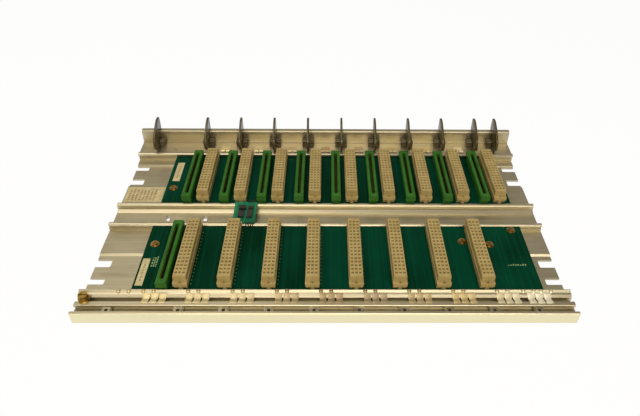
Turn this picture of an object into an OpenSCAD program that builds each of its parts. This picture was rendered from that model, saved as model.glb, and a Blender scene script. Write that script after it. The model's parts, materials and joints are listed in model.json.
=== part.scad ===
// Wall-mount module rack: one extruded back panel that carries two backplane
// boards, their sockets and edge connectors, and a row of guide fins.
// It lies on its back: X runs along the panel, Y from the front rail to the
// rear rail, Z away from the wall. The origin is at the bottom centre.

/* [Back panel] */
// Length of the panel
panel_w = 482.6; // [470:0.2:620]
// Depth of the panel, from the front rail to the rear rail's lip
panel_h = 303; // [300:0.5:400]
// Thickness of the panel under the boards
plate_t = 4.25; // [3.4:0.05:6]
// Thickness of the panel along the mounting slots
thin_t = 2.25; // [1.6:0.05:3.2]
// Width of the thin band behind the front rail
thin_front_w = 57.2; // [52.5:0.1:60]
// Width of the thin band before the rear rail
thin_rear_w = 42; // [39:0.1:55]
// Thick strip between that band and the rear rail
thin_rear_in = 11; // [6:0.1:11.5]

/* [Front rail] */
// Height of the front lip
front_lip_z = 14; // [12:0.1:22]
// Thickness of the front lip
lip_t = 3.3; // [2.4:0.1:5]
// Width of the T-slot's mouth
tslot_w = 8.5; // [7:0.1:11]
// Height of the T-slot's floor
tslot_floor_z = 6.3; // [5:0.1:7]
// Height of the T-slot's chamber
tslot_gap = 3.3; // [3:0.1:4.5]
// Undercut of the chamber on each side of the mouth
tslot_undercut = 1.6; // [1:0.1:2]
// Height of the ledge behind the T-slot
ledge_z = 12; // [11.5:0.1:13]
// Width of that ledge
ledge_w = 5.2; // [4:0.1:8]
// Width of the groove behind the ledge
groove_w = 6.5; // [5:0.1:8]
// Width of the front rib
rib_w = 8.3; // [7.5:0.1:12]
// Height of the front rib
rib_z = 14.1; // [13.5:0.1:16]

/* [Middle rail] */
// Width of the middle rail, over both ribs
mid_rail_w = 40; // [32:0.1:42]
// Thickness of each rib
mid_rib_t = 5.4; // [4.5:0.1:8]
// Height of each rib
mid_rib_z = 12.9; // [12.5:0.1:15]

/* [Rear rail] */
// Width of the rear rail, lip to lip
rear_rail_w = 39; // [36:0.1:41]
// Height of the wall's top lip
rear_rail_z = 30; // [22:0.1:40]
// Thickness of the wall
wall_t = 3; // [2:0.1:4]
// Width of the top lip, from the wall's front face
top_lip_w = 9; // [7:0.1:12]
// Height of the rear ledge
rear_ledge_z = 12.75; // [12:0.05:14]
// Height of the lip along the ledge's front
rear_lip_z = 15; // [14:0.1:18]

/* [Mounting slots] */
// Length of each open-ended slot
slot_l = 15.6; // [8:0.1:18]
// Width of the four outer slots
outer_slot_w = 8.5; // [5:0.1:9]
// Width of the four inner slots
inner_slot_w = 11; // [5:0.1:12]
// Front outer slot, from the front rail
front_outer_in = 20.5; // [8:0.1:24]
// Front inner slot, from the front rail
front_inner_in = 46.2; // [36:0.1:46.5]
// Rear outer slot, from the rear rail
rear_outer_in = 16; // [15.5:0.1:20]
// Rear inner slot, from the rear rail
rear_inner_in = 44; // [32:0.1:46.5]

/* [Module slots] */
// Distance from one module slot to the next
slot_pitch = 43.3; // [36:0.1:43.8]
// Width of the supply slot at the left
supply_slot_w = 64.8; // [60:0.1:68]
// Width of the end slot at the right
end_slot_w = 26; // [24:0.1:30]

/* [Boards] */
// Thickness of the backplane boards
board_t = 2.2; // [1.5:0.1:2.7]
// Height of the boards' undersides
board_z = 7.9; // [7:0.1:8.2]
// From the first fin to the boards' left edge
board_left_in = 26.2; // [16:0.1:40]
// From the last fin to the boards' right edge
board_right_in = 2; // [0:0.1:4]
// Thickness of the small link board
link_t = 1.6; // [1:0.1:2.4]

/* [Sockets] */
// Width of a socket's nose
socket_w = 13; // [12:0.1:14]
// Length of a socket's nose
socket_l = 87; // [84:0.1:88]
// Height of a socket's top
socket_z = 26.5; // [22:0.1:34]
// Width of the flange
flange_w = 14.4; // [14:0.1:16]
// Length of the flange
flange_l = 94; // [93.4:0.1:95]
// Height of the flange's top
flange_z = 19; // [17:0.1:20]
// Distance between the flange's two fixing holes
flange_hole_gap = 88.9; // [88.6:0.1:89.2]
// Side of a square contact hole
contact_hole = 2.4; // [1.2:0.1:2.8]
// Distance between the three columns of holes
column_pitch = 3.81; // [3.2:0.01:4]
// Distance between the sixteen rows of holes
row_pitch = 5.08; // [4.6:0.01:5.2]

/* [Edge connectors] */
// Width of an edge connector
edge_w = 11; // [9:0.1:13]
// Length of its body
edge_l = 93.6; // [90:0.1:95]
// Height of its top
edge_z = 22.7; // [19:0.1:30]
// Width of its slot
edge_slot_w = 3.8; // [2.4:0.1:3.9]
// Length of its slot
edge_slot_l = 82; // [60:0.1:84]

/* [Guide fins] */
// Height of the fins' tips
fin_tip_z = 47; // [42:0.1:60]
// Thickness of a fin
fin_t = 2.7; // [2:0.1:4]
// Width of its foot block
fin_foot_w = 15; // [8:0.1:16]
// Radius of the peg under the foot
peg_r = 2; // [1.5:0.1:2.6]

/* [Springs and fasteners] */
// Thickness of the contact strips and springs
spring_t = 0.4; // [0.3:0.1:0.8]
// Width of one spring finger of a contact strip
finger_w = 6.6; // [5:0.1:7.2]
// Distance between two fingers
finger_pitch = 8.1; // [7.8:0.1:8.6]
// Width of a clamp nut
nut_w = 9.6; // [7:0.1:12]
// Radius of the board screws' shanks
screw_r = 1.5; // [1:0.1:1.8]
// Radius of the ground bolt's shank
bolt_r = 2.5; // [2:0.1:3]
// Width across the flats of the ground bolt's head
bolt_af = 9; // [7:0.1:10]

/* [Hidden] */
$fn = 32;
play = 0.2;              // clearance of a board in its grooves, and of a screw in its hole
groove_d = 1.5;          // depth of the grooves that hold the boards
board_grip = 1.2;        // how far a board reaches into each groove
step_w = 2;              // width of the slopes between thick and thin panel
edge_c = 0.5;            // small chamfer on the rails' outer edges
wall_under = 2.5;        // thickness left over the hollows in the panel's back
through = 1;             // how far a cut runs past the faces it goes through

slots = 8;               // module slots between the supply slot and the end slot
fins = slots + 3;
uppers = slots + 1;      // sockets and edge connectors on the upper board

// Front to rear: where each part of the section starts
y_ledge = lip_t + tslot_w;
y_groove = y_ledge + ledge_w;
y_rib = y_groove + groove_w;
y_low0 = y_rib + rib_w;
bay_w = (panel_h - y_low0 - mid_rail_w - rear_rail_w) / 2;
y_low1 = y_low0 + bay_w;
y_up0 = y_low1 + mid_rail_w;
y_up1 = y_up0 + bay_w;
y_wall = panel_h - top_lip_w;
y_low = (y_low0 + y_low1) / 2;
y_up = (y_up0 + y_up1) / 2;
tslot_top_z = tslot_floor_z + tslot_gap;
board_top = board_z + board_t;
groove_top = board_top + play;

// Left to right: fins, sockets and connectors
x_first = -(supply_slot_w + slots * slot_pitch + end_slot_w) / 2;
function slot_x(i) = x_first + supply_slot_w + i * slot_pitch;
function fin_x(i) = i == 0 ? x_first : i == fins - 1 ? -x_first : slot_x(i - 1);
board_x0 = x_first + board_left_in;
board_x1 = -x_first - board_right_in;
strips = slots + 2;
nuts = slots + 2;

// Places in a module slot, from the fin at its left
socket_in = 10.4;
edge_back = 7.9;         // the edge connector stands to the left of the fin
edge_forward = 2.2;      // and nearer to the front than the sockets
lower_edge_shift = 0.7;  // the lower edge connector, from the line of the upper one
spring_in = 23.1;
strip_in = 29;
strip_first_back = 12.8; // the first contact strip, left of the first slot
strip_last_in = 16.4;    // the last one, in the end slot
nut_in = 12.5;
nut_first_in = 9.5;      // the first clamp nut, in the supply slot
function socket_x(i) = slot_x(i) + socket_in;
function edge_x(i) = slot_x(i) - edge_back;
function spring_x(i) = slot_x(i) + spring_in;
function nut_x(i) = i == 0 ? x_first + nut_first_in : slot_x(i - 1) + nut_in;
function strip_x(i) =
    i == 0 ? slot_x(0) - strip_first_back
    : i == strips - 1 ? slot_x(slots) + strip_last_in
    : slot_x(i - 1) + strip_in;

// Board screws: two at the left, two beside the last slot's fin, one at the right
screw_x0 = board_x0 + 8.8;
screw_spots = [
    [screw_x0, y_up1 - 66.4], [screw_x0, y_low1 - 28.5],
    [slot_x(slots - 1) + 26.8, y_low1 - 28.5], [slot_x(slots - 1) - 1.7, y_low1 - 23.8],
    [board_x1 - 11.4, y_low1 - 5.2]
];
screw_head_r = 3.5;
screw_head_t = 2;
screw_ring_r = 4.8;
screw_ring_t = 0.3;
screw_slot_w = 0.8;      // the two crossed slots in the head
screw_slot_l = 4.6;
screw_slot_z = 0.9;
screw_end_z = 0.8;       // the screws end above the panel's back face
spacer_r = 3;

// Ground bolt at the left end of the groove
bolt_x = -panel_w / 2 + 7.8;
bolt_y = y_groove + groove_w / 2;
bolt_head_t = 4.6;
bolt_slot_w = 1.2;
bolt_slot_d = 1.4;
washer_r = 5.6;
washer_t = 1.2;

// Countersunk holes in the front rib, one pair by each clamp nut, and two pairs more
rib_hole_gap = 10;
rib_holes = concat(
    [for (i = [0 : nuts - 1]) nut_x(i) + 6.5],
    [nut_x(0) + 30.7, nut_x(nuts - 1) - 10.9]
);
rib_hole_r = 1.3;
rib_hole_y = y_rib + 5.3;
countersink = 1.2;       // how much wider the holes are at the top
countersink_d = 2.4;

// Top of the front rib: distance from its front face, and drop from its highest point
rib_slope = [[0, 3.9], [0.4, 3.4], [2.5, 2.1], [4.6, 1.6]];
rib_crest = 1.6;         // width of the crest at its rear edge
rib_crest_drop = 1.2;    // fall from the crest to the board groove's side

// Ribs of the middle rail
mid_rib_crown = 1.5;     // height of their rounded tops
front_rib_foot = [1.2, 1];    // slope at the front rib's foot: width, height
rear_rib_foot = [4.5, 2.1];   // the same at the rear rib's foot

// Lip, ledge and top lip of the rear rail
rear_lip_w = 3;
rear_lip_foot = 4;
groove_cheek = 1.2;      // the lip leans over the board groove by this much
top_drop = 5;            // height of the top lip's outer face
hook_in = 2;             // how far its lower edge is drawn in

// Small holes near the left end
ledge_hole = [22.5, 18.4, 1.8];    // from the first fin, from the wall, radius
channel_slots = [37.7, 80];        // from the first fin
channel_slot = [4.6, 8.5];
channel_slot_in = 23.6;            // from the rear rib's rear face

// Fin and its foot, measured from the wall and the ledge
fin_front = 30;
fin_toe = 19;
fin_crown_drop = 14;     // from the tip down to the front end of the crown
fin_nose_drop = 21;      // from the tip down to the nose
fin_chin = 7.3;          // the nose's underside, over the ledge
fin_back_in = 0.8;       // from the panel's rear edge
peg_y = y_wall - 5.5;
peg_play = 0.05;
foot_d = 9;
foot_z = 20;
wall_step = 2;           // small step at the wall's foot
wall_step_z = 1.3;
step_play = 0.3;         // the fins and their feet clear that step

// Link board and its parts
link_x0 = slot_x(1) + 5.6;
link_w = 25.5;
link_top_z = mid_rib_z + link_t;
link_in = 1.6;           // how far its edges lie inside the middle rail
link_pins = 4;
link_pin_s = 0.8;
link_pin_in = 2;         // the first pin, from the board's right edge
link_pin_reach = [3.4, 1.4];    // over the rib, and past it
pin_pitch = 2.54;
// Chips: place on the link board, width, length, height
chips = [[5.5, 8.5, 7, 10, 2.4], [15.5, 8, 6, 13, 2.2], [5.5, 21.5, 8, 6, 3.4], [16, 23, 6, 4.5, 1.8]];

// Inside and under the connectors
socket_hole_d = 10;
socket_hole_r = 1.3;
socket_c = 0.6;          // chamfer along the nose
socket_leg_r = 2.4;
flange_under = rear_lip_z + play;    // the flanges clear the rear rail's lip
flange_r = 1.2;
edge_c2 = 0.8;           // chamfer along an edge connector
edge_foot_side = 0.8;    // its foot is set in by this much at the sides
edge_foot_in = 2.95;     // and by this much at the ends
edge_over_lip = 0.8;     // its body clears the rear rail's lip by this much
edge_slot_z = 2.4;       // floor of its slot, over the board
edge_slit = [1.1, 0.7];  // slits for the contacts: width, depth
edge_slit_in = 2;        // from the slot's ends

// Contact strips, springs and nuts
finger_tip = [-2.5, 0.6];    // the tip on the ledge, from the groove's front edge
finger_dip = [3.2, 1.6];     // lowest point over the groove: place, drop
spine_stops = [0.4, 2.5, 3.8];    // where the spine bends, on the rib's slope
rail_finger = 5;
rail_finger_gap = 1.2;
spring_spine = 1.5;      // where the spring's spine starts, behind its bend
nut_slide = 0.3;         // clearance of a nut in the T-slot
nut_neck_in = 1;         // the neck is narrower than the nut by this much a side
nut_over = 0.8;
nut_hole_r = 1.65;
label_t = 0.15;

// ---------------------------------------------------------------- helpers

// Points of an arc from p to q that bulges to the left by s
function bow(p, q, s, n = 6) =
    let (
        half = norm(q - p) / 2,
        along = (q - p) / (2 * half),
        across = [-along[1], along[0]] * sign(s),
        rise = abs(s),
        r = (half * half + rise * rise) / (2 * rise),
        a = asin(half / r)
    )
    [for (i = [0 : n]) let (g = a * (2 * i / n - 1))
        (p + q) / 2 + along * r * sin(g) + across * (r * cos(g) - r + rise)];

function left_of(a, b) = [a[1] - b[1], b[0] - a[0]] / norm(b - a);

// Corner i of a strip of thickness t laid on the path
function strip_corner(path, i, t) =
    let (
        n0 = left_of(path[max(i - 1, 0)], path[max(i, 1)]),
        n1 = left_of(path[min(i, len(path) - 2)], path[min(i + 1, len(path) - 1)]),
        m = n0 + n1
    )
    path[i] + m * (2 * t / (m * m));

// Outline of a strip of thickness t laid on the path
function strip_outline(path, t) =
    concat(path, [for (i = [len(path) - 1 : -1 : 0]) strip_corner(path, i, t)]);

// Moves a part from front-edge coordinates to the origin at the centre
module placed() {
    translate([0, -panel_h / 2, 0]) children();
}

// Extrudes a (Y, Z) outline along X
module along_x(x0, w) {
    translate([x0, 0, 0]) rotate([90, 0, 90]) linear_extrude(w) children();
}

// Extrudes a (X, Z) outline along Y, centred on y = 0
module along_y(l) {
    translate([0, l / 2, 0]) rotate([90, 0, 0]) linear_extrude(l) children();
}

module centred_box(w, l, z0, z1) {
    translate([-w / 2, -l / 2, z0]) cube([w, l, z1 - z0]);
}

// Rectangle with chamfered upper corners
module roofed(w, z0, z1, c) {
    polygon([
        [-w / 2, z0], [w / 2, z0], [w / 2, z1 - c],
        [w / 2 - c, z1], [-w / 2 + c, z1], [-w / 2, z1 - c]
    ]);
}

module rounded_rect(w, l, r) {
    square([w - 2 * r, l], center = true);
    square([w, l - 2 * r], center = true);
    for (x = [-1, 1], y = [-1, 1])
        translate([x * (w / 2 - r), y * (l / 2 - r)]) circle(r);
}

// ------------------------------------------------------------- back panel

function board_groove(y, side) = [
    [y, board_z], [y + side * groove_d, board_z],
    [y + side * groove_d, groove_top], [y, groove_top]
];

function flip(list) = [for (i = [len(list) - 1 : -1 : 0]) list[i]];

function front_rail_top() = concat(
    [
        [0, edge_c], [0, front_lip_z - edge_c], [edge_c, front_lip_z],
        [lip_t - edge_c, front_lip_z], [lip_t, front_lip_z - edge_c],
        [lip_t, tslot_top_z], [lip_t - tslot_undercut, tslot_top_z],
        [lip_t - tslot_undercut, tslot_floor_z],
        [y_ledge + tslot_undercut, tslot_floor_z],
        [y_ledge + tslot_undercut, tslot_top_z], [y_ledge, tslot_top_z],
        [y_ledge, ledge_z - edge_c], [y_ledge + edge_c, ledge_z],
        [y_groove, ledge_z], [y_groove, plate_t], [y_rib, plate_t]
    ],
    [for (p = rib_slope) [y_rib + p[0], rib_z - p[1]]],
    bow([y_low0 - rib_crest, rib_z - 0.1], [y_low0, rib_z - rib_crest_drop], 0.4, 4),
    flip(board_groove(y_low0, -1)),
    [[y_low0, thin_t], [y_low0 + thin_front_w, thin_t], [y_low0 + thin_front_w + step_w, plate_t]]
);

// Rounded top of a middle rib that starts at y
function rib_crown(y) =
    bow([y, mid_rib_z - mid_rib_crown], [y + mid_rib_t, mid_rib_z - mid_rib_crown], mid_rib_crown, 8);

function mid_rail_top() = concat(
    [[y_low1, plate_t]],
    board_groove(y_low1, 1),
    rib_crown(y_low1),
    [
        [y_low1 + mid_rib_t, plate_t + front_rib_foot[1]],
        [y_low1 + mid_rib_t + front_rib_foot[0], plate_t],
        [y_up0 - mid_rib_t - rear_rib_foot[0], plate_t],
        [y_up0 - mid_rib_t, plate_t + rear_rib_foot[1]]
    ],
    rib_crown(y_up0 - mid_rib_t),
    flip(board_groove(y_up0, -1)),
    [[y_up0, plate_t]]
);

function rear_rail_top() = concat(
    [
        [y_up1 - thin_rear_in - thin_rear_w - step_w, plate_t],
        [y_up1 - thin_rear_in - thin_rear_w, thin_t],
        [y_up1 - thin_rear_in, thin_t], [y_up1 - thin_rear_in + step_w / 2, plate_t],
        [y_up1, plate_t]
    ],
    board_groove(y_up1, 1),
    [[y_up1 - groove_cheek, groove_top + groove_cheek]],
    bow([y_up1 - groove_cheek, rear_lip_z - 0.8], [y_up1 + rear_lip_w, rear_lip_z - 0.2], 0.5, 6),
    [
        [y_up1 + rear_lip_foot, rear_ledge_z],
        [y_wall - wall_step, rear_ledge_z],
        [y_wall - wall_step + 0.3, rear_ledge_z + wall_step_z],
        [y_wall, rear_ledge_z + wall_step_z], [y_wall, rear_rail_z - 1],
        [y_wall + 1, rear_rail_z]
    ],
    bow([panel_h - 3.5, rear_rail_z], [panel_h, rear_rail_z - 2.5], 0.6, 6),
    [
        [panel_h, rear_rail_z - top_drop], [panel_h - hook_in, rear_rail_z - top_drop],
        [panel_h - hook_in - 0.6, rear_rail_z - 3.4], [panel_h - hook_in - 1.6, rear_rail_z - wall_under],
        [y_wall + wall_t + 1, rear_rail_z - wall_under],
        [y_wall + wall_t, rear_rail_z - wall_under - 1]
    ]
);

// The back is flat, with three long hollows under the rails
web_t = 2.2;
rear_web_t = 3;
rib_hollow_z = board_z - 0.6;
y_rear_web = y_up1 + groove_d + rear_web_t;
y_rib_web = y_low0 - groove_d - 2;
function panel_back() = [
    [y_wall + wall_t, edge_c], [y_wall + wall_t - edge_c, 0], [y_wall, 0],
    [y_wall, rear_ledge_z - wall_under], [y_rear_web, rear_ledge_z - wall_under],
    [y_rear_web, 0], [y_rib_web, 0],
    [y_rib_web, rib_hollow_z], [y_rib + web_t, rib_hollow_z], [y_rib + web_t, 0],
    [y_groove - web_t, 0], [y_groove - web_t, tslot_floor_z - wall_under],
    [web_t, tslot_floor_z - wall_under], [web_t, 0], [edge_c, 0]
];

module panel_section() {
    polygon(concat(front_rail_top(), mid_rail_top(), rear_rail_top(), panel_back()));
}

// Slot that is open at the panel's end
module open_slot(y, w) {
    corner = 1.5;
    past_end = corner + through;
    for (side = [-1, 1])
        translate([side * (panel_w / 2 + (past_end - slot_l) / 2), y, -through])
            linear_extrude(plate_t + 2 * through) rounded_rect(slot_l + past_end, w, corner);
}

module end_slots() {
    open_slot(y_low0 + front_outer_in, outer_slot_w);
    open_slot(y_low0 + front_inner_in, inner_slot_w);
    open_slot(y_up1 - rear_outer_in, outer_slot_w);
    open_slot(y_up1 - rear_inner_in, inner_slot_w);
}

module rib_hole(x) {
    translate([x, rib_hole_y, board_z]) cylinder(h = rib_z, r = rib_hole_r);
    translate([x, rib_hole_y, rib_z - countersink_d])
        cylinder(h = countersink_d, r1 = rib_hole_r, r2 = rib_hole_r + countersink);
}

// Round hole through the panel's plate
module plate_hole(x, y, r) {
    translate([x, y, -through]) cylinder(h = plate_t + 2 * through, r = r);
}

// Round hole through the rear ledge
module rear_hole(x, y, r) {
    translate([x, y, rear_ledge_z - wall_under - through]) cylinder(h = wall_under + 2 * through, r = r);
}

module panel_holes() {
    for (x = rib_holes) {
        rib_hole(x);
        rib_hole(x + rib_hole_gap);
    }
    for (s = screw_spots) plate_hole(s[0], s[1], screw_r);
    plate_hole(bolt_x, bolt_y, bolt_r);
    for (i = [0 : fins - 1]) rear_hole(fin_x(i), peg_y, peg_r + peg_play);
    rear_hole(x_first + ledge_hole[0], y_wall - ledge_hole[1], ledge_hole[2]);
    for (x = channel_slots)
        translate([x_first + x - channel_slot[0] / 2, y_up0 - channel_slot_in, -through])
            cube([channel_slot[0], channel_slot[1], plate_t + 2 * through]);
}

module back_panel() {
    color("#b9ad92") placed() difference() {
        along_x(-panel_w / 2, panel_w) panel_section();
        end_slots();
        panel_holes();
    }
}

// ----------------------------------------------------------------- boards

module backplane(y0) {
    difference() {
        translate([board_x0, y0 - board_grip, board_z])
            cube([board_x1 - board_x0, bay_w + 2 * board_grip, board_t]);
        for (s = screw_spots)
            translate([s[0], s[1], board_z - through])
                cylinder(h = board_t + 2 * through, r = screw_r + play);
    }
}

module upper_board() {
    color("#0e4630") placed() backplane(y_up0);
}

module lower_board() {
    color("#0e4630") placed() backplane(y_low0);
}

module link_board() {
    color("#2c7a4c") placed() translate([link_x0, y_low1 + link_in, mid_rib_z])
        cube([link_w, mid_rail_w - 2 * link_in, link_t]);
}

// Pin that runs from the link board over a rib and down to a backplane
module link_pin(x, y_edge, side) {
    y_end = y_edge + side * link_pin_reach[1];
    y_in = y_edge - side * link_pin_reach[0];
    translate([x - link_pin_s / 2, min(y_in, y_end), link_top_z])
        cube([link_pin_s, abs(y_end - y_in), link_pin_s]);
    translate([x - link_pin_s / 2, min(y_end, y_end - side * link_pin_s), board_top])
        cube([link_pin_s, link_pin_s, link_top_z - board_top]);
}

module link_parts() {
    color("#23231f") placed() {
        for (c = chips)
            translate([link_x0 + c[0], y_low1 + link_in + c[1], link_top_z]) cube([c[2], c[3], c[4]]);
        for (i = [0 : link_pins - 1]) {
            x = link_x0 + link_w - link_pin_in - i * pin_pitch;
            link_pin(x, y_low1, -1);
            link_pin(x, y_up0, 1);
        }
    }
}

// --------------------------------------------------------------- connectors

module contact_holes() {
    for (c = [-1 : 1], r = [-7.5 : 7.5])
        translate([c * column_pitch, r * row_pitch]) square(contact_hole, center = true);
}

// Both flange ends of a socket
module at_flange_holes(z) {
    for (side = [-1, 1])
        translate([0, side * flange_hole_gap / 2, z]) children();
}

module socket() {
    color("#ab975f") difference() {
        union() {
            intersection() {
                centred_box(socket_w, socket_l, board_top, socket_z);
                along_y(socket_l) roofed(socket_w, board_top - through, socket_z, socket_c);
            }
            translate([0, 0, flange_under])
                linear_extrude(flange_z - flange_under) rounded_rect(flange_w, flange_l, flange_r);
            at_flange_holes(board_top)
                cylinder(h = flange_under + through - board_top, r = socket_leg_r);
        }
        translate([0, 0, socket_z - socket_hole_d])
            linear_extrude(socket_hole_d + through) contact_holes();
        at_flange_holes(board_top - through) cylinder(h = flange_z, r = socket_hole_r);
    }
}

// Slot of an edge connector, with a slit at each pair of contacts
module edge_slot_outline() {
    last = floor((edge_slot_l - 2 * edge_slit_in) / pin_pitch);
    square([edge_slot_w, edge_slot_l], center = true);
    for (i = [0 : last])
        translate([0, (i - last / 2) * pin_pitch])
            square([edge_slot_w + 2 * edge_slit[1], edge_slit[0]], center = true);
}

module edge_connector() {
    body_z = rear_lip_z + edge_over_lip;
    color("#2f7a33") difference() {
        union() {
            centred_box(edge_w - 2 * edge_foot_side, edge_l - 2 * edge_foot_in, board_top, body_z);
            intersection() {
                centred_box(edge_w, edge_l, body_z, edge_z);
                along_y(edge_l) roofed(edge_w, body_z - through, edge_z, edge_c2);
            }
        }
        translate([0, 0, board_top + edge_slot_z]) linear_extrude(edge_z) edge_slot_outline();
    }
}

module upper_socket(i) {
    placed() translate([socket_x(i - 1), y_up, 0]) socket();
}

module lower_socket(i) {
    placed() translate([socket_x(i - 1), y_low, 0]) socket();
}

module upper_edge(i) {
    placed() translate([edge_x(i - 1), y_up - edge_forward, 0]) edge_connector();
}

module lower_edge() {
    placed() translate([edge_x(0) + lower_edge_shift, y_low - edge_forward, 0]) edge_connector();
}

// --------------------------------------------------------------- guide fins

// Underside of a fin and its foot, cut back round the step at the wall's foot
function fin_sole(y) = [
    [y, rear_ledge_z],
    [y_wall - wall_step - step_play, rear_ledge_z],
    [y_wall - wall_step - step_play, rear_ledge_z + wall_step_z + step_play],
    [y_wall, rear_ledge_z + wall_step_z + step_play]
];

module fin_outline() {
    y_back = panel_h - fin_back_in;
    polygon(concat(
        fin_sole(y_wall - fin_toe),
        [[y_wall, rear_rail_z], [y_back, rear_rail_z]],
        bow([y_back, fin_tip_z - 2.4], [y_back - 2.6, fin_tip_z], -0.7, 4),
        bow([y_wall - 1, fin_tip_z], [y_wall - fin_front + 2, fin_tip_z - fin_crown_drop], -1.4, 8),
        bow(
            [y_wall - fin_front, fin_tip_z - fin_nose_drop],
            [y_wall - fin_front + 1.4, rear_ledge_z + fin_chin], -0.4, 3
        )
    ));
}

module fin_foot_outline() {
    polygon(concat(
        fin_sole(y_wall - foot_d),
        [[y_wall, foot_z], [y_wall - foot_d + 1, foot_z], [y_wall - foot_d, foot_z - 1]]
    ));
}

module guide_fin(i) {
    x = fin_x(i - 1);
    color("#4d4523") placed() {
        along_x(x - fin_t / 2, fin_t) fin_outline();
        along_x(x - fin_foot_w / 2, fin_foot_w) fin_foot_outline();
        translate([x, peg_y, rear_ledge_z - wall_under]) cylinder(h = wall_under + 1, r = peg_r);
    }
}

// -------------------------------------------------------- springs, fasteners

// The spine lies on the front rib's slope
function spine_path() = [for (y = spine_stops) [y_rib + y, rib_z - lookup(y, rib_slope)]];

// Path of a finger: flat tip on the ledge, a dip over the groove, then up the rib
function finger_path() = concat(
    [
        [y_groove + finger_tip[0], ledge_z], [y_groove + finger_tip[1], ledge_z],
        [y_groove + finger_dip[0], ledge_z - finger_dip[1]]
    ],
    spine_path()
);

module contact_strip(i) {
    x = strip_x(i - 1);
    color("#c9a65a") placed() {
        for (k = [-1 : 1])
            along_x(x + k * finger_pitch - finger_w / 2, finger_w)
                polygon(strip_outline(finger_path(), spring_t));
        along_x(x - finger_pitch - finger_w / 2, 2 * finger_pitch + finger_w)
            polygon(strip_outline(spine_path(), spring_t));
    }
}

module clamp_nuts() {
    wings_l = tslot_w + 2 * (tslot_undercut - nut_slide);
    neck_l = tslot_w - 2 * nut_slide;
    color("#b4ab8f") placed() for (i = [0 : nuts - 1])
        translate([nut_x(i), lip_t + tslot_w / 2, 0]) difference() {
            union() {
                centred_box(nut_w, wings_l, tslot_floor_z, tslot_top_z - nut_slide);
                centred_box(nut_w - 2 * nut_neck_in, neck_l, tslot_floor_z, tslot_top_z + nut_over);
            }
            translate([0, 0, tslot_floor_z - through])
                cylinder(h = tslot_gap + nut_over + 2 * through, r = nut_hole_r);
        }
}

// Raised tip, bend down to the ledge, and a flat foot, from the wall
function spring_path() = [
    [y_wall - 24.6, rear_ledge_z + 1.6], [y_wall - 22.6, rear_ledge_z + 2.7],
    [y_wall - 18, rear_ledge_z], [y_wall - 10.5, rear_ledge_z]
];

module rail_springs() {
    path = spring_path();
    half_w = rail_finger + rail_finger_gap / 2;
    color("#c6a352") placed() for (i = [0 : slots - 1]) {
        for (x = [-half_w, rail_finger_gap / 2])
            along_x(spring_x(i) + x, rail_finger)
                polygon(strip_outline(path, spring_t));
        along_x(spring_x(i) - half_w, 2 * half_w)
            polygon(strip_outline([path[2] + [spring_spine, 0], path[3]], spring_t));
    }
}

module ground_bolt() {
    head_z = ledge_z + washer_t;
    color("#8a6a25") placed() translate([bolt_x, bolt_y, 0]) difference() {
        union() {
            translate([0, 0, head_z])
                cylinder(h = bolt_head_t, r = bolt_af / sqrt(3), $fn = 6);
            translate([0, 0, screw_end_z]) cylinder(h = head_z, r = bolt_r);
        }
        translate([-bolt_af, -bolt_slot_w / 2, head_z + bolt_head_t - bolt_slot_d])
            cube([2 * bolt_af, bolt_slot_w, bolt_slot_d + through]);
    }
}

module ground_washer() {
    color("#a5823a") placed() translate([bolt_x, bolt_y, ledge_z]) difference() {
        cylinder(h = washer_t, r = washer_r);
        translate([0, 0, -through]) cylinder(h = washer_t + 2 * through, r = bolt_r + play);
    }
}

module board_screws() {
    color("#c8ad62") placed() for (s = screw_spots)
        translate([s[0], s[1], 0]) difference() {
            union() {
                translate([0, 0, board_top]) cylinder(h = screw_ring_t, r = screw_ring_r);
                translate([0, 0, board_top]) cylinder(h = screw_head_t, r = screw_head_r);
                translate([0, 0, screw_end_z]) cylinder(h = board_top, r = screw_r);
            }
            for (a = [45, 135])
                rotate([0, 0, a])
                    translate([-screw_slot_l / 2, -screw_slot_w / 2, board_top + screw_slot_z])
                        cube([screw_slot_l, screw_slot_w, screw_head_t]);
        }
}

module board_spacers() {
    color("#b8b6ac") placed() for (s = screw_spots)
        translate([s[0], s[1], plate_t]) difference() {
            cylinder(h = board_z - plate_t, r = spacer_r);
            translate([0, 0, -through])
                cylinder(h = board_z - plate_t + 2 * through, r = screw_r + play);
        }
}

module label(x, y, w, l, z) {
    translate([x, y, z]) cube([w, l, label_t]);
}

module labels() {
    color("#d8d2b4") placed() {
        label(board_x0 + 4.6, y_up1 - 52.5, 8.5, 38.5, board_top);
        label(board_x0 + 2, y_low0 + 7.4, 7.5, 38.1, board_top);
        label(-panel_w / 2 + 1, y_up0 + 10.5, board_x0 + panel_w / 2 - 4, 28.5, plate_t);
    }
}

// ------------------------------------------------------------------- output

back_panel();
upper_board();
lower_board();
link_board();
link_parts();
for (i = [1 : fins])
    guide_fin(i);
for (i = [1 : uppers])
    upper_socket(i);
for (i = [1 : slots])
    lower_socket(i);
for (i = [1 : uppers])
    upper_edge(i);
lower_edge();
for (i = [1 : strips])
    contact_strip(i);
clamp_nuts();
rail_springs();
ground_bolt();
ground_washer();
board_screws();
board_spacers();
labels();
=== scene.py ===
"""Looks of a module rack: an extruded aluminium panel with two backplane boards, sockets,
edge connectors, contact springs and guide fins. It lies on its back, X along the rails."""

import json
import math
import random

import bmesh
import bpy
from mathutils import Matrix, Vector


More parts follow.
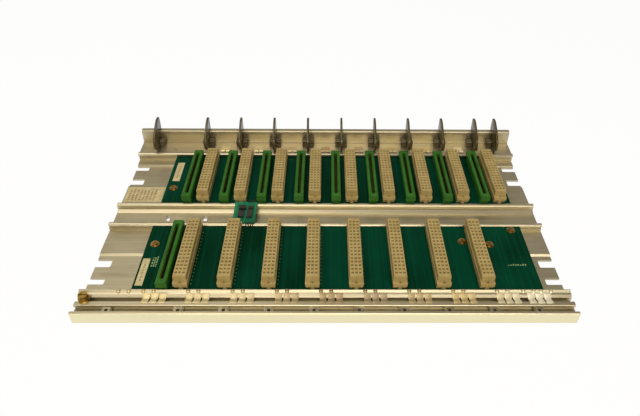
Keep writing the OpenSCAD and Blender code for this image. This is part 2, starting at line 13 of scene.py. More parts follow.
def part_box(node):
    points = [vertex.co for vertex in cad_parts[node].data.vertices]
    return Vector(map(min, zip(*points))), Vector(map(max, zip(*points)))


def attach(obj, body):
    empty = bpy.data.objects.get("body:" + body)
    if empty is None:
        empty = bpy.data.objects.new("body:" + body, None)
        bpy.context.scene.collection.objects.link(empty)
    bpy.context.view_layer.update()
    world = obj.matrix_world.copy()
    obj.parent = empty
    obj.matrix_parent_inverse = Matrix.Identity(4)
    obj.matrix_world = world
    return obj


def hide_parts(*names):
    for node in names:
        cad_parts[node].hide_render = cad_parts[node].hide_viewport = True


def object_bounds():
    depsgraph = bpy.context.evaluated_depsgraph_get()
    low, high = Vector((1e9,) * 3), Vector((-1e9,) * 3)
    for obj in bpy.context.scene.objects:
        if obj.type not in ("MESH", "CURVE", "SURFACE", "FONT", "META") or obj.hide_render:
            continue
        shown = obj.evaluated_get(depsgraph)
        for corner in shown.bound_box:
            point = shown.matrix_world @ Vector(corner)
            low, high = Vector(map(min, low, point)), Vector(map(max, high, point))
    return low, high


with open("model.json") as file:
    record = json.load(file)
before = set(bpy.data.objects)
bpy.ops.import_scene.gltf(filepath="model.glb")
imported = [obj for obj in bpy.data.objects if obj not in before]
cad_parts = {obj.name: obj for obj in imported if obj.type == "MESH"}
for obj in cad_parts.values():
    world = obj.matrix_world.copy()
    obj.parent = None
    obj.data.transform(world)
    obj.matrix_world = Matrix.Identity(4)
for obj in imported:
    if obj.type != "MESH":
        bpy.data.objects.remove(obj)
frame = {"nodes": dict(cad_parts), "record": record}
cad_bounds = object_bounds()
MM = 0.001


# ---------------------------------------------------------------- camera and room

CAMERA_AT = (-0.0003, -0.5106, 0.4403)
CAMERA_DOWN = 39.688      # degrees below the horizon
CAMERA_TURN = -1.009
CAMERA_ROLL = 0.789
CAMERA_LENS = 32.79       # millimetres
SENSOR_W = 36
CAMERA_SHIFT = (-0.0217, 0.0014)
CAMERA_RANGE = (0.01, 20)


def turned(degrees, axis):
    return Matrix.Rotation(math.radians(degrees), 4, axis)


def add_camera():
    data = bpy.data.cameras.new("camera")
    data.lens = CAMERA_LENS
    data.sensor_width = SENSOR_W
    data.shift_x, data.shift_y = CAMERA_SHIFT
    data.clip_start, data.clip_end = CAMERA_RANGE
    camera = bpy.data.objects.new("camera", data)
    bpy.context.scene.collection.objects.link(camera)
    tilt = turned(CAMERA_TURN, "Z") @ turned(90 - CAMERA_DOWN, "X") @ turned(CAMERA_ROLL, "Z")
    camera.matrix_world = Matrix.Translation(CAMERA_AT) @ tilt
    bpy.context.scene.camera = camera


def add_area_light(name, at, size, watts):
    """Warm softbox that points at the origin."""
    data = bpy.data.lights.new(name, "AREA")
    data.shape = "RECTANGLE"
    data.size, data.size_y = size
    data.energy = watts
    data.color = WARM
    lamp = bpy.data.objects.new(name, data)
    bpy.context.scene.collection.objects.link(lamp)
    look = -Vector(at)
    lamp.matrix_world = Matrix.Translation(at) @ look.to_track_quat("-Z", "Y").to_matrix().to_4x4()


WARM = (1.0, 0.93, 0.78)
SKY_LEVEL = 0.4
SKY = (1.0, 0.94, 0.82)
# Softboxes: place, width and height, watts
FRONT_SOFTBOX = ((0.1, -1.15, 1.1), (1.4, 0.8), 17)
TOP_SOFTBOX = ((-0.5, 0.2, 1.5), (1.2, 1.0), 9)
FLOOR_W = 6
FLOOR_TONE = (0.86, 0.86, 0.85, 1)
FLOOR_GLOW = 0.94         # share of plain white in what is seen of the floor


def add_lights():
    add_area_light("front_softbox", *FRONT_SOFTBOX)
    add_area_light("top_softbox", *TOP_SOFTBOX)


def seen_directly(nodes, links):
    """1 where a ray from the camera, a gloss or a glass looks straight at this, else 0."""
    path = nodes.new("ShaderNodeLightPath")
    total = path.outputs["Is Camera Ray"]
    for name in ("Is Glossy Ray", "Is Transmission Ray"):
        adder = nodes.new("ShaderNodeMath")
        adder.operation = "MAXIMUM"
        links.new(total, adder.inputs[0])
        links.new(path.outputs[name], adder.inputs[1])
        total = adder.outputs[0]
    return total


def add_world():
    world = bpy.data.worlds.new("studio")
    world.use_nodes = True
    nodes, links = world.node_tree.nodes, world.node_tree.links
    nodes.clear()
    light = nodes.new("ShaderNodeBackground")
    light.inputs["Color"].default_value = (*SKY, 1)
    light.inputs["Strength"].default_value = SKY_LEVEL
    out = nodes.new("ShaderNodeOutputWorld")
    links.new(light.outputs[0], out.inputs["Surface"])
    bpy.context.scene.world = world


def add_floor():
    bpy.ops.mesh.primitive_plane_add(size=FLOOR_W, location=(0, 0, cad_bounds[0][2]))
    floor = bpy.context.object
    floor.name = "floor"
    material = bpy.data.materials.new("white_floor")
    material.use_nodes = True
    nodes, links = material.node_tree.nodes, material.node_tree.links
    nodes.clear()
    paper = nodes.new("ShaderNodeBsdfDiffuse")
    paper.inputs["Color"].default_value = FLOOR_TONE
    glow = nodes.new("ShaderNodeEmission")
    glow.inputs["Color"].default_value = (1, 1, 1, 1)
    glow.inputs["Strength"].default_value = 1
    share = nodes.new("ShaderNodeMath")
    share.operation = "MULTIPLY"
    share.inputs[1].default_value = FLOOR_GLOW
    links.new(seen_directly(nodes, links), share.inputs[0])
    mixer = nodes.new("ShaderNodeMixShader")
    links.new(share.outputs[0], mixer.inputs[0])
    links.new(paper.outputs[0], mixer.inputs[1])
    links.new(glow.outputs[0], mixer.inputs[2])
    out = nodes.new("ShaderNodeOutputMaterial")
    links.new(mixer.outputs[0], out.inputs["Surface"])
    floor.data.materials.append(material)


# ---------------------------------------------------------------- material tools

class Finish:
    """Node tree of one material, built round its Principled shader."""

    def __init__(self, name, **sockets):
        self.material = bpy.data.materials.new(name)
        self.material.use_nodes = True
        self.tree = self.material.node_tree
        self.tree.nodes.clear()
        self.shader = self.tree.nodes.new("ShaderNodeBsdfPrincipled")
        out = self.tree.nodes.new("ShaderNodeOutputMaterial")
        self.tree.links.new(self.shader.outputs[0], out.inputs["Surface"])
        for socket, value in sockets.items():
            self.shader.inputs[socket.replace("_", " ")].default_value = value

    def add(self, kind, **settings):
        node = self.tree.nodes.new(kind)
        for key, value in settings.items():
            setattr(node, key, value)
        return node

    def link(self, source, target):
        self.tree.links.new(source, target)

    def place(self, scale=(1, 1, 1), at=(0, 0, 0)):
        """Object coordinates, moved and scaled."""
        coords = self.add("ShaderNodeTexCoord")
        mapping = self.add("ShaderNodeMapping")
        mapping.inputs["Location"].default_value = at
        mapping.inputs["Scale"].default_value = scale
        self.link(coords.outputs["Object"], mapping.inputs["Vector"])
        return mapping.outputs["Vector"]

    def noise(self, scale, detail=3.0, rough=0.5, stretch=(1, 1, 1), at=(0, 0, 0)):
        texture = self.add("ShaderNodeTexNoise")
        texture.inputs["Scale"].default_value = scale
        texture.inputs["Detail"].default_value = detail
        texture.inputs["Roughness"].default_value = rough
        self.link(self.place(stretch, at), texture.inputs["Vector"])
        return texture.outputs["Fac"]

    def ramp(self, source, *stops):
        """Colour ramp through (place, colour) stops."""
        node = self.add("ShaderNodeValToRGB")
        elements = node.color_ramp.elements
        while len(elements) < len(stops):
            elements.new(0.5)
        for element, (place, colour) in zip(elements, stops):
            element.position = place
            element.color = (*colour, 1)
        self.link(source, node.inputs["Fac"])
        return node.outputs["Color"]

    def mask(self, source, low, high):
        """0 below low, 1 above high."""
        node = self.add("ShaderNodeMapRange")
        node.inputs["From Min"].default_value = low
        node.inputs["From Max"].default_value = high
        self.link(source, node.inputs["Value"])
        return node.outputs["Result"]

    def span(self, source, low, high):
        """Stretches a 0 to 1 value to the span from low to high."""
        node = self.add("ShaderNodeMapRange")
        node.inputs["To Min"].default_value = low
        node.inputs["To Max"].default_value = high
        self.link(source, node.inputs["Value"])
        return node.outputs["Result"]

    def math(self, operation, a, b=None):
        node = self.add("ShaderNodeMath", operation=operation)
        for socket, value in zip(node.inputs, (a, b)):
            if isinstance(value, (int, float)):
                socket.default_value = value
            elif value is not None:
                self.link(value, socket)
        return node.outputs[0]

    def mix(self, amount, a, b):
        node = self.add("ShaderNodeMix", data_type="RGBA")
        for socket, value in ((node.inputs[0], amount), (node.inputs[6], a), (node.inputs[7], b)):
            if isinstance(value, tuple):
                socket.default_value = (*value, 1)
            elif isinstance(value, (int, float)):
                socket.default_value = value
            else:
                self.link(value, socket)
        return node.outputs[2]

    def axis(self, letter):
        """One coordinate of the surface, in metres."""
        coords = self.add("ShaderNodeTexCoord")
        parts = self.add("ShaderNodeSeparateXYZ")
        self.link(coords.outputs["Object"], parts.inputs[0])
        return parts.outputs[letter]

    def bump(self, height, depth_mm, strength=1.0, under=None):
        node = self.add("ShaderNodeBump")
        node.inputs["Strength"].default_value = strength
        node.inputs["Distance"].default_value = depth_mm * MM
        self.link(height, node.inputs["Height"])
        if under is not None:
            self.link(under, node.inputs["Normal"])
        return node.outputs["Normal"]

    def use(self, **sources):
        for socket, source in sources.items():
            self.link(source, self.shader.inputs[socket.replace("_", " ")])
        return self.material


# ---------------------------------------------------------------- materials

def make_aluminium():
    """Mill finish extrusion: fine draw lines along X, dull blotches, and painted light on the front
    face, which is painted a light cream.
    """
    finish = Finish("mill_aluminium", Metallic=1.0, Roughness=0.4)
    draw_lines = finish.noise(900, 4, 0.6, (0.01, 1, 1))
    bands = finish.noise(160, 2, 0.5, (0.004, 1, 1))
    blotches = finish.noise(24, 5, 0.6, (0.6, 1, 1), (0.4, 0.1, 0))
    specks = finish.noise(420, 4, 0.7)
    tone = finish.ramp(
        blotches, (0.3, (0.34, 0.3, 0.2)), (0.5, (0.47, 0.42, 0.3)), (0.72, (0.6, 0.55, 0.41))
    )
    tone = finish.mix(finish.mask(bands, 0.4, 0.62), tone, (0.5, 0.45, 0.32))
    lines = finish.ramp(draw_lines, (0.3, (0.3, 0.26, 0.17)), (0.7, (0.74, 0.67, 0.5)))
    tone = finish.mix(0.3, tone, lines)
    # Painted light: only the front face is painted a light cream, where the front softbox lights it.
    painted_front_light = finish.mask(finish.axis("Y"), cad_bounds[0][1] + 0.3 * MM, cad_bounds[0][1])
    tone = finish.mix(painted_front_light, tone, (0.86, 0.79, 0.52))
    pits = finish.mask(specks, 0.68, 0.76)
    tone = finish.mix(finish.math("MULTIPLY", pits, 0.4), tone, (0.2, 0.165, 0.09))
    return finish.use(
        Base_Color=tone,
        Roughness=finish.span(blotches, 0.32, 0.5),
        Normal=finish.bump(draw_lines, 0.02, 0.35),
    )


def make_board(name, base, lift, gloss=0.02):
    """Solder resist over hair-thin tracks along Y, with cloudy depth."""
    finish = Finish(name, Roughness=0.3, Specular_IOR_Level=gloss)
    weave = finish.noise(1500, 2, 0.5)
    patches = finish.noise(9, 3, 0.55)
    tracks = finish.noise(420, 0, 0.5, (1, 0.012, 1))
    tone = finish.ramp(patches, (0.38, base), (0.62, lift))
    raised = finish.mask(tracks, 0.53, 0.56)
    tone = finish.mix(finish.math("MULTIPLY", raised, 0.18), tone, tuple(1.9 * v for v in lift))
    return finish.use(
        Base_Color=tone,
        Roughness=finish.span(patches, 0.26, 0.4),
        Normal=finish.bump(raised, 0.03, 0.25, finish.bump(weave, 0.01, 0.12)),
    )


GRAIN_DEPTH = 0.02       # millimetres
SPECKLE = 0.15


def make_moulding(name, dark, light, roughness, gloss=0.3):
    """Moulded plastic with a fine grain and slightly cloudy colour."""
    finish = Finish(name, Roughness=roughness, Specular_IOR_Level=gloss)
    grains = finish.noise(2600, 3, 0.6)
    clouds = finish.noise(70, 4, 0.6)
    tone = finish.ramp(clouds, (0.32, dark), (0.68, light))
    tone = finish.mix(SPECKLE, tone, finish.ramp(grains, (0.35, dark), (0.65, light)))
    return finish.use(
        Base_Color=tone,
        Roughness=finish.span(clouds, roughness - 0.06, roughness + 0.08),
        Normal=finish.bump(grains, GRAIN_DEPTH, 0.3),
    )


def make_metal(name, dull, bright, roughness):
    """Plated sheet metal with a worn, uneven shine."""
    finish = Finish(name, Metallic=1.0, Roughness=roughness)
    wear = finish.noise(190, 5, 0.65)
    scratches = finish.noise(1600, 3, 0.6, (1, 0.08, 1))
    tone = finish.ramp(wear, (0.34, dull), (0.62, bright))
    return finish.use(
        Base_Color=tone,
        Roughness=finish.span(wear, roughness + 0.12, roughness - 0.08),
        Normal=finish.bump(scratches, 0.01, 0.3),
    )


HALF_ROW = 230 * MM      # half of what the springs' tones run along


def make_spring():
    """Plated springs: bright at the ends of the row, dull and coppery in its middle."""
    finish = Finish("spring_gilt", Metallic=0.75, Roughness=0.45)
    along = finish.math("DIVIDE", finish.math("ADD", finish.axis("X"), HALF_ROW), 2 * HALF_ROW)
    row_tone = finish.ramp(
        along,
        (0.1, (0.72, 0.6, 0.34)), (0.3, (0.62, 0.53, 0.32)), (0.5, (0.4, 0.3, 0.17)),
        (0.62, (0.42, 0.34, 0.22)), (0.8, (0.66, 0.52, 0.26)), (0.95, (0.92, 0.87, 0.7)),
    )
    wear = finish.noise(260, 5, 0.65)
    tone = finish.mix(finish.mask(wear, 0.55, 0.9), row_tone, (0.24, 0.18, 0.08))
    return finish.use(
        Base_Color=tone,
        Roughness=finish.span(wear, 0.4, 0.6),
        Normal=finish.bump(wear, 0.02, 0.2),
    )


def make_label():
    """Aged paper with a faint mottle."""
    finish = Finish("aged_label", Roughness=0.55)
    mottle = finish.noise(220, 4, 0.6)
    tone = finish.ramp(mottle, (0.3, (0.4, 0.33, 0.16)), (0.7, (0.58, 0.5, 0.3)))
    return finish.use(Base_Color=tone, Normal=finish.bump(mottle, 0.02, 0.2))


MATERIALS = {
    "aluminium": make_aluminium(),
    "board": make_board("board_resist", (0.0006, 0.022, 0.009), (0.001, 0.042, 0.022)),
    "link_board": make_board("link_resist", (0.004, 0.1, 0.045), (0.012, 0.2, 0.1), 0.2),
    "chips": make_moulding("chip_black", (0.012, 0.012, 0.01), (0.03, 0.03, 0.027), 0.45),
    "fin": make_moulding("fin_brown", (0.045, 0.032, 0.008), (0.075, 0.056, 0.018), 0.25, 0.45),
    "socket": make_moulding("socket_beige", (0.31, 0.23, 0.085), (0.42, 0.32, 0.135), 0.42),
    "edge_connector": make_moulding(
        "edge_green", (0.02, 0.095, 0.01), (0.034, 0.145, 0.018), 0.35, 0.15
    ),
    "spring": make_spring(),
    "nut": make_metal("nut_zinc", (0.2, 0.17, 0.1), (0.5, 0.45, 0.33), 0.32),
    "ground_brass": make_metal("ground_brass", (0.14, 0.08, 0.015), (0.55, 0.37, 0.1), 0.26),
    "screw": make_metal("screw_bronze", (0.2, 0.12, 0.035), (0.48, 0.33, 0.12), 0.3),
    "spacer": make_moulding("spacer_nylon", (0.42, 0.41, 0.36), (0.55, 0.54, 0.48), 0.45),
    "label": make_label(),
    "contact": make_metal("contact_dull_gilt", (0.2, 0.12, 0.035), (0.42, 0.28, 0.1), 0.35),
    "solder": make_moulding("solder_under_resist", (0.02, 0.09, 0.03), (0.07, 0.17, 0.06), 0.3),
    "ink": make_moulding("faded_ink", (0.2, 0.15, 0.07), (0.3, 0.24, 0.13), 0.6),
    "legend": make_moulding("board_legend", (0.14, 0.24, 0.1), (0.26, 0.36, 0.17), 0.5),
}


def dress_cad_nodes():
    """Gives every CAD node the material of its slot in the record."""
    for part in frame["record"]["subparts"]:
        node = frame["nodes"][part["node"]]
        material = MATERIALS[part["material_slot"]]
        if not node.data.materials:
            node.data.materials.append(material)
        for slot in node.material_slots:
            slot.material = material


# ---------------------------------------------------------------- modelling tools

def deselect():
    bpy.ops.object.select_all(action="DESELECT")


def activate(piece):
    deselect()
    piece.select_set(True)
    bpy.context.view_layer.objects.active = piece


def start_box(name, low, high):
    """Box primitive between two corners, its place in its mesh."""
    deselect()
    low, high = Vector(low), Vector(high)
    bpy.ops.mesh.primitive_cube_add(size=1, location=(low + high) / 2, scale=high - low)
    bpy.ops.object.transform_apply(location=True, rotation=True, scale=True)
    bpy.context.object.name = name
    return bpy.context.object


def start_disc(name, at, radius, height, sides):
    """Upright cylinder primitive that stands on the point at."""
    deselect()
    centre = Vector(at) + Vector((0, 0, height / 2))
    bpy.ops.mesh.primitive_cylinder_add(vertices=sides, radius=radius, depth=height, location=centre)
    bpy.ops.object.transform_apply(location=True, rotation=True, scale=True)
    bpy.context.object.name = name
    return bpy.context.object


Y, Z = 1, 2
SAME_LEVEL = 0.01 * MM


def pick_end(piece, axis):
    """Leaves the piece in edit mode, with only the faces at its far end along an axis selected."""
    activate(piece)
    bpy.ops.object.mode_set(mode="EDIT")
    bpy.ops.mesh.select_mode(type="FACE")
    bpy.ops.mesh.select_all(action="DESELECT")
    mesh = bmesh.from_edit_mesh(piece.data)
    end = max(face.calc_center_median()[axis] for face in mesh.faces)
    for face in mesh.faces:
        at_end = face.calc_center_median()[axis] > end - SAME_LEVEL
        face.select_set(at_end and face.normal[axis] > 0.5)
    bmesh.update_edit_mesh(piece.data)


def leave_edit():
    bpy.ops.object.mode_set(mode="OBJECT")


def extend(move, scale=1.0):
    """Extrudes what is selected by a move in metres, then scales it about its middle."""
    bpy.ops.mesh.extrude_region_move(TRANSFORM_OT_translate={"value": move})
    if scale != 1.0:
        bpy.ops.transform.resize(value=(scale, scale, 1))


def repeat(piece, count, step):
    """Row of copies within one piece."""
    activate(piece)
    row = piece.modifiers.new("row", "ARRAY")
    row.count = count
    row.use_relative_offset = False
    row.use_constant_offset = True
    row.constant_offset_displace = step
    bpy.ops.object.modifier_apply(modifier=row.name)


SHARP = math.radians(50)           # edges sharper than this are rounded, or kept crisp on a dome
SMOOTH_UNDER = math.radians(40)    # shading runs on over softer ones


def round_edges(piece, width):
    edges = piece.modifiers.new("edges", "BEVEL")
    edges.width = width
    edges.segments = 2
    edges.limit_method = "ANGLE"
    edges.angle_limit = SHARP
    activate(piece)
    bpy.ops.object.modifier_apply(modifier=edges.name)
    bpy.ops.object.shade_smooth_by_angle(angle=SMOOTH_UNDER)


def copy_by(piece, name, offset):
    """Copy with its own mesh, moved by an offset."""
    twin = bpy.data.objects.new(name, piece.data.copy())
    twin.data.transform(Matrix.Translation(offset))
    bpy.context.scene.collection.objects.link(twin)
    return twin


def join(pieces, name):
    activate(pieces[0])
    for piece in pieces:
        piece.select_set(True)
    if len(pieces) > 1:
        bpy.ops.object.join()
    bpy.context.object.name = name
    return bpy.context.object


def hand_over(piece, material, slot, *replaced):
    """Gives a finished piece its material and its body, and hides the CAD nodes that it stands for.
    """
    piece.data.materials.clear()
    piece.data.materials.append(MATERIALS[material])
    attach(piece, "root")
    if replaced:
        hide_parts(*replaced)


def middle(node):
    low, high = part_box(node)
    return (low + high) / 2


# ---------------------------------------------------------------- contacts

COLUMN_STEP = 3.81 * MM
ROW_STEP = 5.08 * MM
SOCKET_COLUMNS, SOCKET_ROWS = 3, 16
HOLE_DEPTH = 10 * MM
SLEEVE_HALF = 0.95 * MM
SLEEVE_HEIGHT = 7.4 * MM
SLEEVE_WALL = 0.3 * MM
# Inside a sleeve, from its mouth: depth, and how its width changes
SLEEVE_STEPS = ((0.8, 0.7), (4, 1.2))
SOCKETS = [f"lower_socket_{i}" for i in range(1, 9)] + [f"upper_socket_{i}" for i in range(1, 10)]


def model_socket_contacts(socket):
    """Square spring sleeves, one in each hole of a socket."""
    low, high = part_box(socket)
    centre = (low + high) / 2
    x = centre.x - COLUMN_STEP * (SOCKET_COLUMNS - 1) / 2
    y = centre.y - ROW_STEP * (SOCKET_ROWS - 1) / 2
    floor = high.z - HOLE_DEPTH
    sleeve = start_box(
        "socket_contacts",
        (x - SLEEVE_HALF, y - SLEEVE_HALF, floor),
        (x + SLEEVE_HALF, y + SLEEVE_HALF, floor + SLEEVE_HEIGHT),
    )
    pick_end(sleeve, Z)
    bpy.ops.mesh.inset(thickness=SLEEVE_WALL)
    for depth, width in SLEEVE_STEPS:
        extend((0, 0, -depth * MM), width)
    leave_edit()
    repeat(sleeve, SOCKET_COLUMNS, (COLUMN_STEP, 0, 0))
    repeat(sleeve, SOCKET_ROWS, (0, ROW_STEP, 0))
    return sleeve


def add_socket_contacts():
    first = model_socket_contacts(SOCKETS[0])
    for name in SOCKETS[1:]:
        piece = copy_by(first, "contacts_" + name, middle(name) - middle(SOCKETS[0]))
        hand_over(piece, "contact", "spring")
    first.name = "contacts_" + SOCKETS[0]
    hand_over(first, "contact", "spring")


BLADE_STEP = 2.54 * MM
BLADE_COUNT = 31
BLADE_HALF_W = 0.42 * MM
BLADE_HALF_T = 0.22 * MM
BLADE_FOOT = 2 * MM
BLADE_DEPTH = 10.2 * MM       # from an edge connector's top to the blades' feet
# Steps of a blade from its foot: towards the middle of the slot, up
BLADE_STEPS = ((0.75, 3.4), (0.55, 1.8), (-0.25, 1.0), (-0.6, 0.8))
BLADE_ROOT = 2.2 * MM         # from the middle of the slot


def model_edge_blades(connector, side):
    """Bowed contact blades along one wall of an edge connector's slot."""
    low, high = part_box(connector)
    centre = (low + high) / 2
    y = centre.y - BLADE_STEP * (BLADE_COUNT - 1) / 2
    x = centre.x + side * BLADE_ROOT
    floor = high.z - BLADE_DEPTH
    blade = start_box(
        "edge_blades",
        (x - BLADE_HALF_T, y - BLADE_HALF_W, floor),
        (x + BLADE_HALF_T, y + BLADE_HALF_W, floor + BLADE_FOOT),
    )
    pick_end(blade, Z)
    for inward, up in BLADE_STEPS:
        extend((-side * inward * MM, 0, up * MM))
    leave_edit()
    repeat(blade, BLADE_COUNT, (0, BLADE_STEP, 0))
    return blade


def add_edge_contacts():
    first = join([model_edge_blades("lower_edge", side) for side in (-1, 1)], "contacts_lower_edge")
    for name in [f"upper_edge_{i}" for i in range(1, 10)]:
        piece = copy_by(first, "contacts_" + name, middle(name) - middle("lower_edge"))
        hand_over(piece, "contact", "spring")
    hand_over(first, "contact", "spring")


# ---------------------------------------------------------------- fins

FINS = 11
FIN_EDGE = 0.35 * MM
SAME_POINT = 0.001 * MM
FLAT = math.radians(1)


def soften_fin(node, name):
    """The fin's own shape with rounded moulded edges."""
    fin = bpy.data.objects.new(name, frame["nodes"][node].data.copy())
    bpy.context.scene.collection.objects.link(fin)
    activate(fin)
    bpy.ops.object.mode_set(mode="EDIT")
    bpy.ops.mesh.select_all(action="SELECT")
    bpy.ops.mesh.remove_doubles(threshold=SAME_POINT)
    bpy.ops.mesh.dissolve_limited(angle_limit=FLAT)
    leave_edit()
    round_edges(fin, FIN_EDGE)
    return fin


def add_fins():
    first = soften_fin("guide_fin_1", "moulded_fin_1")
    for i in range(2, FINS + 1):
        node = f"guide_fin_{i}"
        piece = copy_by(first, f"moulded_fin_{i}", middle(node) - middle("guide_fin_1"))
        hand_over(piece, "fin", "fin", node)
    hand_over(first, "fin", "fin", "guide_fin_1")


# ---------------------------------------------------------------- contact strips

FINGER_W = 6.6 * MM
FINGER_STEP = 8.1 * MM
SPRING_T = 0.4 * MM
FINGER_EDGE = 0.1 * MM
STRIPS = 10
TIP_FROM_FRONT = 14.5 * MM    # where a finger's tip lies, from the panel's front
LEDGE_Z = 12 * MM
TIP_L = 1.2 * MM
# Steps of a finger from its tip: along the ledge, down over the groove, up the rib
FINGER_STEPS = (
    (1.9, 0), (1.2, -0.55), (1.4, -1.05), (1.6, -0.2), (2.1, 0.5), (2.1, 1.3), (1.3, 0.31),
)
# The spine, from the fingers' rear ends: its depth, its underside and its top
SPINE_DEPTH = 1.1 * MM
SPINE_UNDER = 0.18 * MM
SPINE_TOP = 0.3 * MM
SPINE_LIP = (0, 0.15 * MM, 0.02 * MM)


def model_contact_strip(node):
    """Three sprung fingers on a narrow spine."""
    centre = middle(node)
    x = centre.x - FINGER_STEP - FINGER_W / 2
    y = cad_bounds[0][1] + TIP_FROM_FRONT
    finger = start_box("finger", (x, y, LEDGE_Z), (x + FINGER_W, y + TIP_L, LEDGE_Z + SPRING_T))
    pick_end(finger, Y)
    for forward, up in FINGER_STEPS:
        extend((0, forward * MM, up * MM))
    leave_edit()
    repeat(finger, 3, (FINGER_STEP, 0, 0))
    run = sum(step[0] for step in FINGER_STEPS) * MM + TIP_L
    rise = sum(step[1] for step in FINGER_STEPS) * MM
    spine = start_box(
        "spine",
        (x, y + run - SPINE_DEPTH, LEDGE_Z + rise - SPINE_UNDER),
        (x + 2 * FINGER_STEP + FINGER_W, y + run, LEDGE_Z + rise + SPINE_TOP),
    )
    pick_end(spine, Y)
    extend(SPINE_LIP)
    leave_edit()
    strip = join([finger, spine], "strip")
    round_edges(strip, FINGER_EDGE)
    return strip


def add_contact_strips():
    first = model_contact_strip("contact_strip_1")
    for i in range(2, STRIPS + 1):
        node = f"contact_strip_{i}"
        piece = copy_by(first, f"sprung_strip_{i}", middle(node) - middle("contact_strip_1"))
        hand_over(piece, "spring", "spring", node)
    first.name = "sprung_strip_1"
    hand_over(first, "spring", "spring", "contact_strip_1")


# ---------------------------------------------------------------- small things

# A dome's layers over its foot: share of its height, and how its width changes
DOME_FOOT = 0.3
DOME_STEPS = ((0.4, 0.8), (0.3, 0.5))


def model_dome(name, at, radius, height, sides):
    """Low domed head."""
    dome = start_disc(name, at, radius, height * DOME_FOOT, sides)
    pick_end(dome, Z)
    for share, width in DOME_STEPS:
        extend((0, 0, height * share), width)
    leave_edit()
    bpy.ops.object.shade_smooth_by_angle(angle=SHARP)
    return dome


RIVET_GAP = 10 * MM
RIVET_FROM_FRONT = 28.9 * MM
RIVET_Z = 12.5 * MM
RIVET_R = 1.9 * MM
RIVET_H = 1.5 * MM
RIVET_SIDES = 14
# The clamp nuts lie to the right of fins 1 to 10, and a rivet pair starts right of each nut
FIRST_NUT_IN = 9.5 * MM
NUT_IN = 12.5 * MM
RIVET_IN = 6.5 * MM
# Two more pairs: from the first nut, and from the last
EXTRA_PAIRS = (30.7 * MM, -10.9 * MM)


def rivet_places():
    """Left rivet of each pair on the front rib."""
    nuts = [middle("guide_fin_1").x + FIRST_NUT_IN]
    nuts += [middle(f"guide_fin_{i}").x + NUT_IN for i in range(2, FINS)]
    return [x + RIVET_IN for x in nuts] + [nuts[0] + EXTRA_PAIRS[0], nuts[-1] + EXTRA_PAIRS[1]]


def add_rivets():
    y = cad_bounds[0][1] + RIVET_FROM_FRONT
    places = [x + gap for x in rivet_places() for gap in (0, RIVET_GAP)]
    first = model_dome("rivet", (places[0], y, RIVET_Z), RIVET_R, RIVET_H, RIVET_SIDES)
    rest = [copy_by(first, "rivet", (x - places[0], 0, 0)) for x in places[1:]]
    hand_over(join([first] + rest, "rib_rivets"), "spring", "nut")


DOT_IN = 8.5 * MM        # from a socket's middle
DOT_R = 0.85 * MM
DOT_H = 0.6 * MM
DOT_SIDES = 6


def add_solder_dots():
    """Row of solder dots to the right of each lower socket."""
    board_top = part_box("lower_board")[1].z
    centre = middle("lower_socket_1")
    y = centre.y - ROW_STEP * (SOCKET_ROWS - 1) / 2
    at = (centre.x + DOT_IN, y, board_top)
    first = model_dome("solder_dots_1", at, DOT_R, DOT_H, DOT_SIDES)
    repeat(first, SOCKET_ROWS, (0, ROW_STEP, 0))
    for i in range(2, 9):
        piece = copy_by(first, f"solder_dots_{i}", middle(f"lower_socket_{i}") - centre)
        hand_over(piece, "solder", "board")
    hand_over(first, "solder", "board")


# Dashes in place of print: lengths and gaps in millimetres
DASH_L = (1.0, 3.2)
DASH_GAP = (0.8, 1.6)
DASH_HALF_W = 0.28       # share of a row's width
DASH_EDGE = 0.1 * MM
ROW_END = 1.5 * MM       # no dash starts closer than this to a row's end
INK_T = 0.05 * MM
LEGEND_T = 0.03 * MM


def model_dashes(name, low, high, rows, draw, thickness):
    """Rows of short raised dashes along Y, in place of print."""
    dashes = []
    row_w = (high[0] - low[0]) / rows
    for row in range(rows):
        x = low[0] + (row + 0.5) * row_w
        y = low[1]
        while y < high[1] - ROW_END:
            length = draw.uniform(*DASH_L) * MM
            end = min(y + length, high[1])
            dash = start_box(
                name,
                (x - DASH_HALF_W * row_w, y, low[2]),
                (x + DASH_HALF_W * row_w, end, low[2] + thickness),
            )
            pick_end(dash, Z)
            bpy.ops.mesh.inset(thickness=DASH_EDGE)
            leave_edit()
            dashes.append(dash)
            y = end + draw.uniform(*DASH_GAP) * MM
    return join(dashes, name)


LABEL_T = 0.15 * MM
PRINT_SPAN = (6 * MM, 32 * MM)         # along a board's label
# Board labels: from a corner of the board to the label, and the print's sides across it
UPPER_LABEL, UPPER_PRINT = (4.6 * MM, -53.7 * MM), (2.8 * MM, 5.6 * MM)
LOWER_LABEL, LOWER_PRINT = (2 * MM, 8.6 * MM), (2.4 * MM, 5 * MM)
PLATE_MARGIN = 3 * MM
PLATE_FRONT = 34.5 * MM                # from the upper board's middle to the plate's print
PLATE_PRINT = (34 * MM, 21 * MM)
PLATE_ROWS = 8
PRINT_SEED = 11


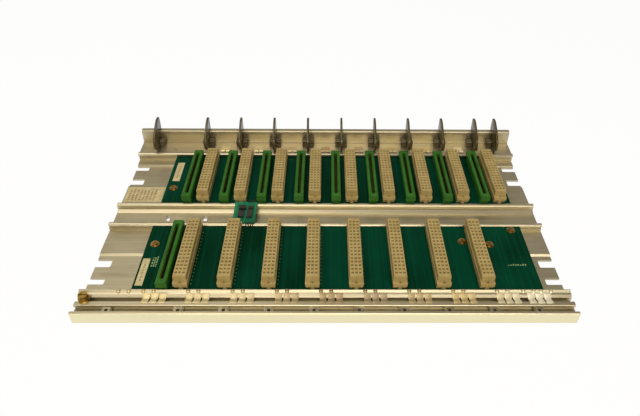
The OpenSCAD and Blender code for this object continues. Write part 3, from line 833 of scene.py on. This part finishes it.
def print_board_label(name, corner, label, across, z, draw):
    x, y = corner[0] + label[0], corner[1] + label[1]
    low = (x + across[0], y + PRINT_SPAN[0], z)
    high = (x + across[1], y + PRINT_SPAN[1], z)
    return model_dashes(name, low, high, 1, draw, INK_T)


def print_field(name, at, size, rows, draw, thickness):
    high = (at[0] + size[0], at[1] + size[1], at[2])
    return model_dashes(name, at, high, rows, draw, thickness)


def add_print():
    draw = random.Random(PRINT_SEED)
    low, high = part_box("upper_board")
    z = high.z + LABEL_T
    upper = print_board_label("print_upper", (low.x, high.y), UPPER_LABEL, UPPER_PRINT, z, draw)
    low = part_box("lower_board")[0]
    lower = print_board_label("print_lower", (low.x, low.y), LOWER_LABEL, LOWER_PRINT, z, draw)
    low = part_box("labels")[0]
    at = (low.x + PLATE_MARGIN, middle("upper_board").y - PLATE_FRONT, low.z + LABEL_T)
    plate = print_field("print_plate", at, PLATE_PRINT, PLATE_ROWS, draw, INK_T)
    for piece in (upper, lower, plate):
        hand_over(piece, "ink", "label")


# Legends on the lower board: place from its end and its front, size, rows
LEFT_LEGEND = ((11.5 * MM, 35 * MM), (6.5 * MM, 15 * MM), 3)
RIGHT_LEGEND = ((28 * MM, 37 * MM), (20 * MM, 2.4 * MM), 8)
LEGEND_SEED = 5


def add_board_legend():
    """Faint legend marks beside the first connector and at the lower board's right end."""
    draw = random.Random(LEGEND_SEED)
    low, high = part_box("lower_board")
    place, size, rows = LEFT_LEGEND
    at = (low.x + place[0], low.y + place[1], high.z)
    left = print_field("legend_left", at, size, rows, draw, LEGEND_T)
    place, size, rows = RIGHT_LEGEND
    at = (high.x - place[0], low.y + place[1], high.z)
    right = print_field("legend_right", at, size, rows, draw, LEGEND_T)
    for piece in (left, right):
        hand_over(piece, "legend", "label")


add_camera()
add_lights()
add_world()
add_floor()
dress_cad_nodes()
add_socket_contacts()
add_edge_contacts()
add_fins()
add_contact_strips()
add_rivets()
add_solder_dots()
add_print()
add_board_legend()
bpy.context.scene.view_settings.view_transform = "Standard"
